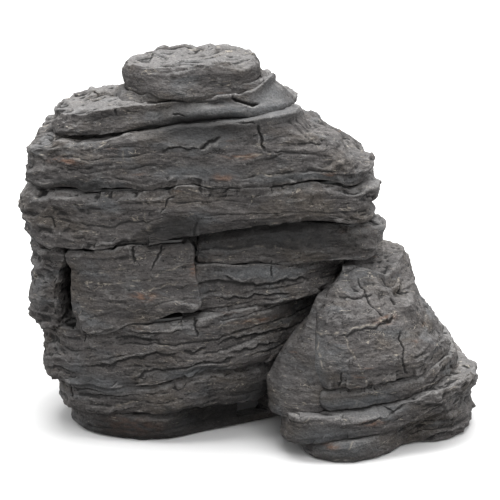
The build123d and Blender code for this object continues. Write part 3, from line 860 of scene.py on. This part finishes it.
class Shader:
    """Short words for the nodes of a material."""

    def __init__(self, name):
        self.material = bpy.data.materials.new(name)
        self.material.use_nodes = True
        self.nodes = self.material.node_tree.nodes
        self.links = self.material.node_tree.links
        self.surface = self.nodes["Principled BSDF"]
        self.place = self.nodes.new("ShaderNodeTexCoord").outputs["Object"]

    def put(self, value, socket):
        if isinstance(value, bpy.types.NodeSocket):
            self.links.new(value, socket)
        else:
            socket.default_value = value

    def held(self, name):
        """What carve or mould_putty stored under that name."""
        node = self.nodes.new("ShaderNodeAttribute")
        node.attribute_name = name
        return node.outputs["Fac"]

    def stretched(self, size):
        """Coordinates in lumps of that size in millimetres."""
        node = self.nodes.new("ShaderNodeMapping")
        node.inputs["Scale"].default_value = tuple(1 / (s * MM) for s in size)
        self.links.new(self.place, node.inputs["Vector"])
        return node.outputs["Vector"]

    def noise(self, size, detail=3.0, rough=0.55, warp=0.0):
        node = self.nodes.new("ShaderNodeTexNoise")
        self.links.new(self.stretched(size), node.inputs["Vector"])
        node.inputs["Scale"].default_value = 1.0
        node.inputs["Detail"].default_value = detail
        node.inputs["Roughness"].default_value = rough
        node.inputs["Distortion"].default_value = warp
        return node.outputs["Fac"]

    def chips(self, size):
        """Scooped chips that meet in ridges: 0 in the middle of each."""
        node = self.nodes.new("ShaderNodeTexVoronoi")
        self.links.new(self.stretched(size), node.inputs["Vector"])
        node.inputs["Scale"].default_value = 1.0
        return node.outputs["Distance"]

    def ramp(self, value, low, high, at_low=0.0, at_high=1.0):
        node = self.nodes.new("ShaderNodeMapRange")
        node.interpolation_type = "SMOOTHSTEP"
        self.put(value, node.inputs["Value"])
        node.inputs["From Min"].default_value = low
        node.inputs["From Max"].default_value = high
        node.inputs["To Min"].default_value = at_low
        node.inputs["To Max"].default_value = at_high
        return node.outputs["Result"]

    def sum(self, a, b, kind="ADD"):
        node = self.nodes.new("ShaderNodeMath")
        node.operation = kind
        self.put(a, node.inputs[0])
        self.put(b, node.inputs[1])
        return node.outputs[0]

    def times(self, a, b):
        return self.sum(a, b, "MULTIPLY")

    def threads(self, size, detail, rough, warp, widest):
        """1 along the winding lines where a noise passes its middle, fading out at the widest."""
        off_middle = self.sum(self.noise(size, detail, rough, warp), 0.5, "SUBTRACT")
        return self.ramp(self.sum(off_middle, 0.0, "ABSOLUTE"), widest, 0.003)

    def mix(self, share, a, b, kind="MIX"):
        node = self.nodes.new("ShaderNodeMix")
        node.data_type = "RGBA"
        node.blend_type = kind
        self.put(share, node.inputs["Factor"])
        self.put(a, node.inputs["A"])
        self.put(b, node.inputs["B"])
        return node.outputs["Result"]

    def bumps(self, layers):
        """Bump from (height, depth in millimetres) pairs, one on the other."""
        normal = None
        for height, deep in layers:
            node = self.nodes.new("ShaderNodeBump")
            node.inputs["Strength"].default_value = 1.0
            node.inputs["Distance"].default_value = deep * MM
            self.put(height, node.inputs["Height"])
            if normal is not None:
                self.links.new(normal, node.inputs["Normal"])
            normal = node.outputs["Normal"]
        self.links.new(normal, self.surface.inputs["Normal"])


def colour(red, green, blue):
    return (red, green, blue, 1.0)


def grey(level):
    return colour(level, level, level)


SLATE = colour(0.112, 0.1035, 0.100)
SLATE_DARK = colour(0.067, 0.062, 0.061)
BROWN = colour(0.112, 0.097, 0.083)
BLUE_GREY = colour(0.108, 0.114, 0.120)
PALE = colour(0.250, 0.243, 0.236)
# pale dust on level places, also used as painted light from above
DUST_AND_TOP_LIGHT = colour(0.235, 0.231, 0.228)
CREAM = colour(0.40, 0.36, 0.30)
RUST = colour(0.24, 0.125, 0.075)
# near black: painted shade in crevices, hollows, hairline cracks, pits and shaded places
CREVICE_SHADE = colour(0.014, 0.0135, 0.0135)


def slate(name, smoothed=False):
    """Painted cast slate: mottled greys and browns, dusted tops that are also painted lighter as if
    lit from above, pale edges, and painted shade in hollows and shaded places.
    """
    s = Shader(name)
    bands = s.noise((70, 70, 9.0), 4, 0.6, 0.8)
    clouds = s.noise((42, 42, 24), 3, 0.55)
    other_clouds = s.noise((27, 33, 15), 3, 0.55, 0.5)
    mottle = s.noise((8, 8, 5), 3, 0.6, 0.3)
    streaks = s.noise((9, 9, 2.4), 3, 0.6, 0.6)
    grains = s.noise((1.3, 1.3, 1.0), 3, 0.65)
    worn, hollow_shade, putty = s.held("worn"), s.held("hollow_shade"), s.held("putty")
    bare = s.ramp(putty, 0.1, 0.6, 1.0, 0.2)

    # the paint: broad bands and clouds, mottled, with dust on level places, which also stands in as
    # painted light from above
    base = s.mix(s.ramp(bands, 0.38, 0.62), SLATE_DARK, SLATE)
    base = s.mix(s.ramp(clouds, 0.48, 0.68, 0.0, 0.75), base, BROWN)
    base = s.mix(s.ramp(other_clouds, 0.52, 0.70, 0.0, 0.6), base, BLUE_GREY)
    base = s.mix(s.times(putty, 0.75), base, BLUE_GREY)
    base = s.mix(s.ramp(mottle, 0.56, 0.68, 0.0, 0.45), base, SLATE_DARK)
    base = s.mix(s.ramp(mottle, 0.44, 0.32, 0.0, 0.30), base, PALE)
    base = s.mix(s.times(s.ramp(streaks, 0.58, 0.70, 0.0, 0.35), bare), base, SLATE_DARK)
    scoops = s.chips((7.5, 7.5, 3.8))
    # painted shade: the scooped middle of each chip is painted darker
    base = s.mix(s.times(s.ramp(scoops, 0.45, 0.1, 0.0, 0.35), bare), base, SLATE_DARK)
    # dust and painted light from above on level places
    base = s.mix(s.times(s.held("top"), s.ramp(mottle, 0.3, 0.6, 0.85, 0.6)), base, DUST_AND_TOP_LIGHT)

    # fine marks: pale threads, dashes and flecks, and dark hairs and pits painted near black as the
    # shadow in those small cracks and pits
    pale = s.threads((30, 30, 9), 3, 0.55, 1.2, 0.009)
    pale = s.times(pale, s.ramp(s.noise((19, 19, 9), 2), 0.55, 0.64))
    base = s.mix(s.times(pale, s.times(bare, 0.7)), base, CREAM)
    hairs = s.threads((30, 30, 8), 5, 0.62, 1.0, 0.011)
    hairs = s.times(hairs, s.ramp(s.noise((24, 24, 10), 2), 0.50, 0.60))
    hairs = s.times(hairs, bare)
    base = s.mix(s.times(hairs, 0.8), base, CREVICE_SHADE)
    dashes = s.ramp(s.noise((6.0, 6.0, 0.9), 2, 0.5, 0.8), 0.685, 0.71)
    base = s.mix(s.times(s.times(dashes, bare), 0.6), base, CREAM)
    flecks = s.ramp(s.noise((1.7, 1.7, 1.5), 2, 0.5), 0.67, 0.74, 0.0, 0.55)
    base = s.mix(s.times(flecks, bare), base, PALE)
    pits = s.times(s.ramp(s.noise((2.4, 2.4, 2.0), 2, 0.5), 0.33, 0.27, 0.0, 0.8), bare)
    base = s.mix(pits, base, CREVICE_SHADE)

    # stains and veins, then wear, then painted shade in hollows and shaded places
    base = s.mix(s.ramp(s.noise((26, 26, 6.0), 3, 0.6), 0.66, 0.80, 0.0, 0.3), base, RUST)
    base = s.mix(s.times(s.held("rust"), 0.6), base, RUST)
    base = s.mix(s.times(s.held("vein"), 0.6), base, CREAM)
    edges = s.times(s.ramp(worn, 0.30, 0.90, 0.0, 0.42), s.ramp(grains, 0.30, 0.62, 0.35, 1.0))
    base = s.mix(edges, base, PALE)
    # painted shade in hollows and cracks
    base = s.mix(s.ramp(hollow_shade, 0.08, 0.70, 0.0, 0.9), base, CREVICE_SHADE)
    # painted shade from the shade attribute, mixed towards near black
    base = s.mix(s.times(s.held("shade"), 0.88), base, CREVICE_SHADE)
    speckle = s.mix(s.ramp(grains, 0.3, 0.7), grey(0.33), grey(0.67))
    base = s.mix(0.75, base, speckle, "OVERLAY")
    s.put(base, s.surface.inputs["Base Color"])
    s.put(s.ramp(clouds, 0.3, 0.7, 0.72, 0.9), s.surface.inputs["Roughness"])
    s.surface.inputs["Specular IOR Level"].default_value = 0.3
    rough = 0.7 if smoothed else 1.0
    s.bumps([
        (s.noise((10, 10, 5), 4, 0.62, 0.3), 1.5 * rough),
        (s.times(scoops, bare), 0.8),
        (s.times(s.chips((3.1, 3.1, 1.6)), bare), 0.4),
        (s.noise((3.4, 3.4, 2.4), 4, 0.65), 0.7 * rough),
        (s.times(s.sum(hairs, pits), -1.0), 0.5),
        (grains, 0.22),
    ])
    return s.material


def rubber():
    s = Shader("pad_rubber")
    grain = s.noise((0.5, 0.5, 0.5), 2)
    cloudy = s.ramp(s.noise((6, 6, 6), 3), 0.3, 0.7)
    s.put(s.mix(cloudy, grey(0.018), colour(0.036, 0.035, 0.034)), s.surface.inputs["Base Color"])
    s.put(s.ramp(grain, 0.3, 0.7, 0.6, 0.85), s.surface.inputs["Roughness"])
    s.bumps([(grain, 0.08)])
    return s.material


def epoxy():
    s = Shader("bond_epoxy")
    flow = s.noise((5, 5, 2), 3)
    cloudy = s.ramp(flow, 0.3, 0.7)
    s.put(s.mix(cloudy, grey(0.014), colour(0.035, 0.034, 0.033)), s.surface.inputs["Base Color"])
    s.put(s.ramp(flow, 0.3, 0.7, 0.45, 0.7), s.surface.inputs["Roughness"])
    s.bumps([(flow, 0.2)])
    return s.material


rock_slate = slate("slate_resin")
putty_slate = slate("smoothed_putty", smoothed=True)
for node, settings in CASTINGS.items():
    carve(node, settings).data.materials.append(rock_slate)
for node in ("cap_collar", "boulder_seam_putty"):
    mould_putty(node).data.materials.append(putty_slate)
dark_epoxy = epoxy()
for node in ("stack_bond_lines", "block_bond_lines", "boulder_bond_lines"):
    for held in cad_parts[node].material_slots:
        held.material = dark_epoxy
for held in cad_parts["soft_pads"].material_slots:
    held.material = rubber()

# ---- studio: pale floor, a broad light overhead, weak lights in front and at the sides ----
GLOW = (0.12, 0.45, 0.4)  # where the floor's glow begins and is full, in metres, and its strength
SKY_BELOW, SKY_ABOVE = 0.03, 0.62
# name, place, what it points at, size in metres, watts
LIGHTS = [
    ("overhead", (0, 0.2, 2.6), (0, 0, 0.1), (1.9, 1.6), 90),
    ("key_front", (0.15, -1.2, 1.3), (0, 0, 0.12), (0.8, 0.6), 9),
    ("front_fill", (0.3, -1.8, 0.7), (0, 0, 0.12), (1.4, 1.0), 5),
    ("left_side", (-1.5, 0.4, 0.5), (0, 0, 0.15), (0.8, 1.2), 8),
    ("right_side", (1.5, 0.4, 0.5), (0, 0, 0.15), (0.8, 1.2), 8),
]


def make_floor():
    """White paper that glows round the object, so that the picture's ground is pale."""
    bpy.ops.mesh.primitive_plane_add(size=40, location=(0, 8, 0))
    floor = bpy.context.object
    floor.name = "floor"
    paper = bpy.data.materials.new("floor_paper")
    paper.use_nodes = True
    surface = paper.node_tree.nodes["Principled BSDF"]
    surface.inputs["Base Color"].default_value = grey(0.82)
    surface.inputs["Roughness"].default_value = 0.95
    surface.inputs["Specular IOR Level"].default_value = 0.1
    surface.inputs["Emission Color"].default_value = grey(1.0)
    nodes, links = paper.node_tree.nodes, paper.node_tree.links
    away = nodes.new("ShaderNodeVectorMath")
    away.operation = "LENGTH"
    links.new(nodes.new("ShaderNodeNewGeometry").outputs["Position"], away.inputs[0])
    glow = nodes.new("ShaderNodeMapRange")
    glow.interpolation_type = "SMOOTHSTEP"
    links.new(away.outputs["Value"], glow.inputs["Value"])
    for name, value in zip(("From Min", "From Max", "To Max"), GLOW):
        glow.inputs[name].default_value = value
    links.new(glow.outputs["Result"], surface.inputs["Emission Strength"])
    floor.data.materials.append(paper)
    floor.visible_diffuse = False


def make_light(name, place, aim, size, watts):
    lamp = bpy.data.lights.new(name, "AREA")
    lamp.shape = "RECTANGLE"
    lamp.size, lamp.size_y = size
    lamp.energy = watts
    light = bpy.data.objects.new(name, lamp)
    light.location = place
    way = np.array(aim, float) - np.array(place, float)
    flat = math.hypot(way[0], way[1])
    light.rotation_euler = (math.atan2(flat, -way[2]), 0, math.atan2(way[1], way[0]) - math.pi / 2)
    bpy.context.collection.objects.link(light)


def make_sky():
    """White round and above, dark from below."""
    world = bpy.data.worlds.new("studio")
    world.use_nodes = True
    nodes, links = world.node_tree.nodes, world.node_tree.links
    place = nodes.new("ShaderNodeTexCoord")
    split = nodes.new("ShaderNodeSeparateXYZ")
    links.new(place.outputs["Generated"], split.inputs[0])
    ramp = nodes.new("ShaderNodeMapRange")
    links.new(split.outputs["Z"], ramp.inputs["Value"])
    ramp.inputs["From Min"].default_value = -0.25
    ramp.inputs["From Max"].default_value = 0.35
    ramp.inputs["To Min"].default_value = SKY_BELOW
    ramp.inputs["To Max"].default_value = SKY_ABOVE
    links.new(ramp.outputs["Result"], nodes["Background"].inputs["Strength"])
    nodes["Background"].inputs["Color"].default_value = grey(1.0)
    bpy.context.scene.world = world


make_floor()
make_sky()
for setting in LIGHTS:
    make_light(*setting)
bpy.context.scene.view_settings.view_transform = "Standard"
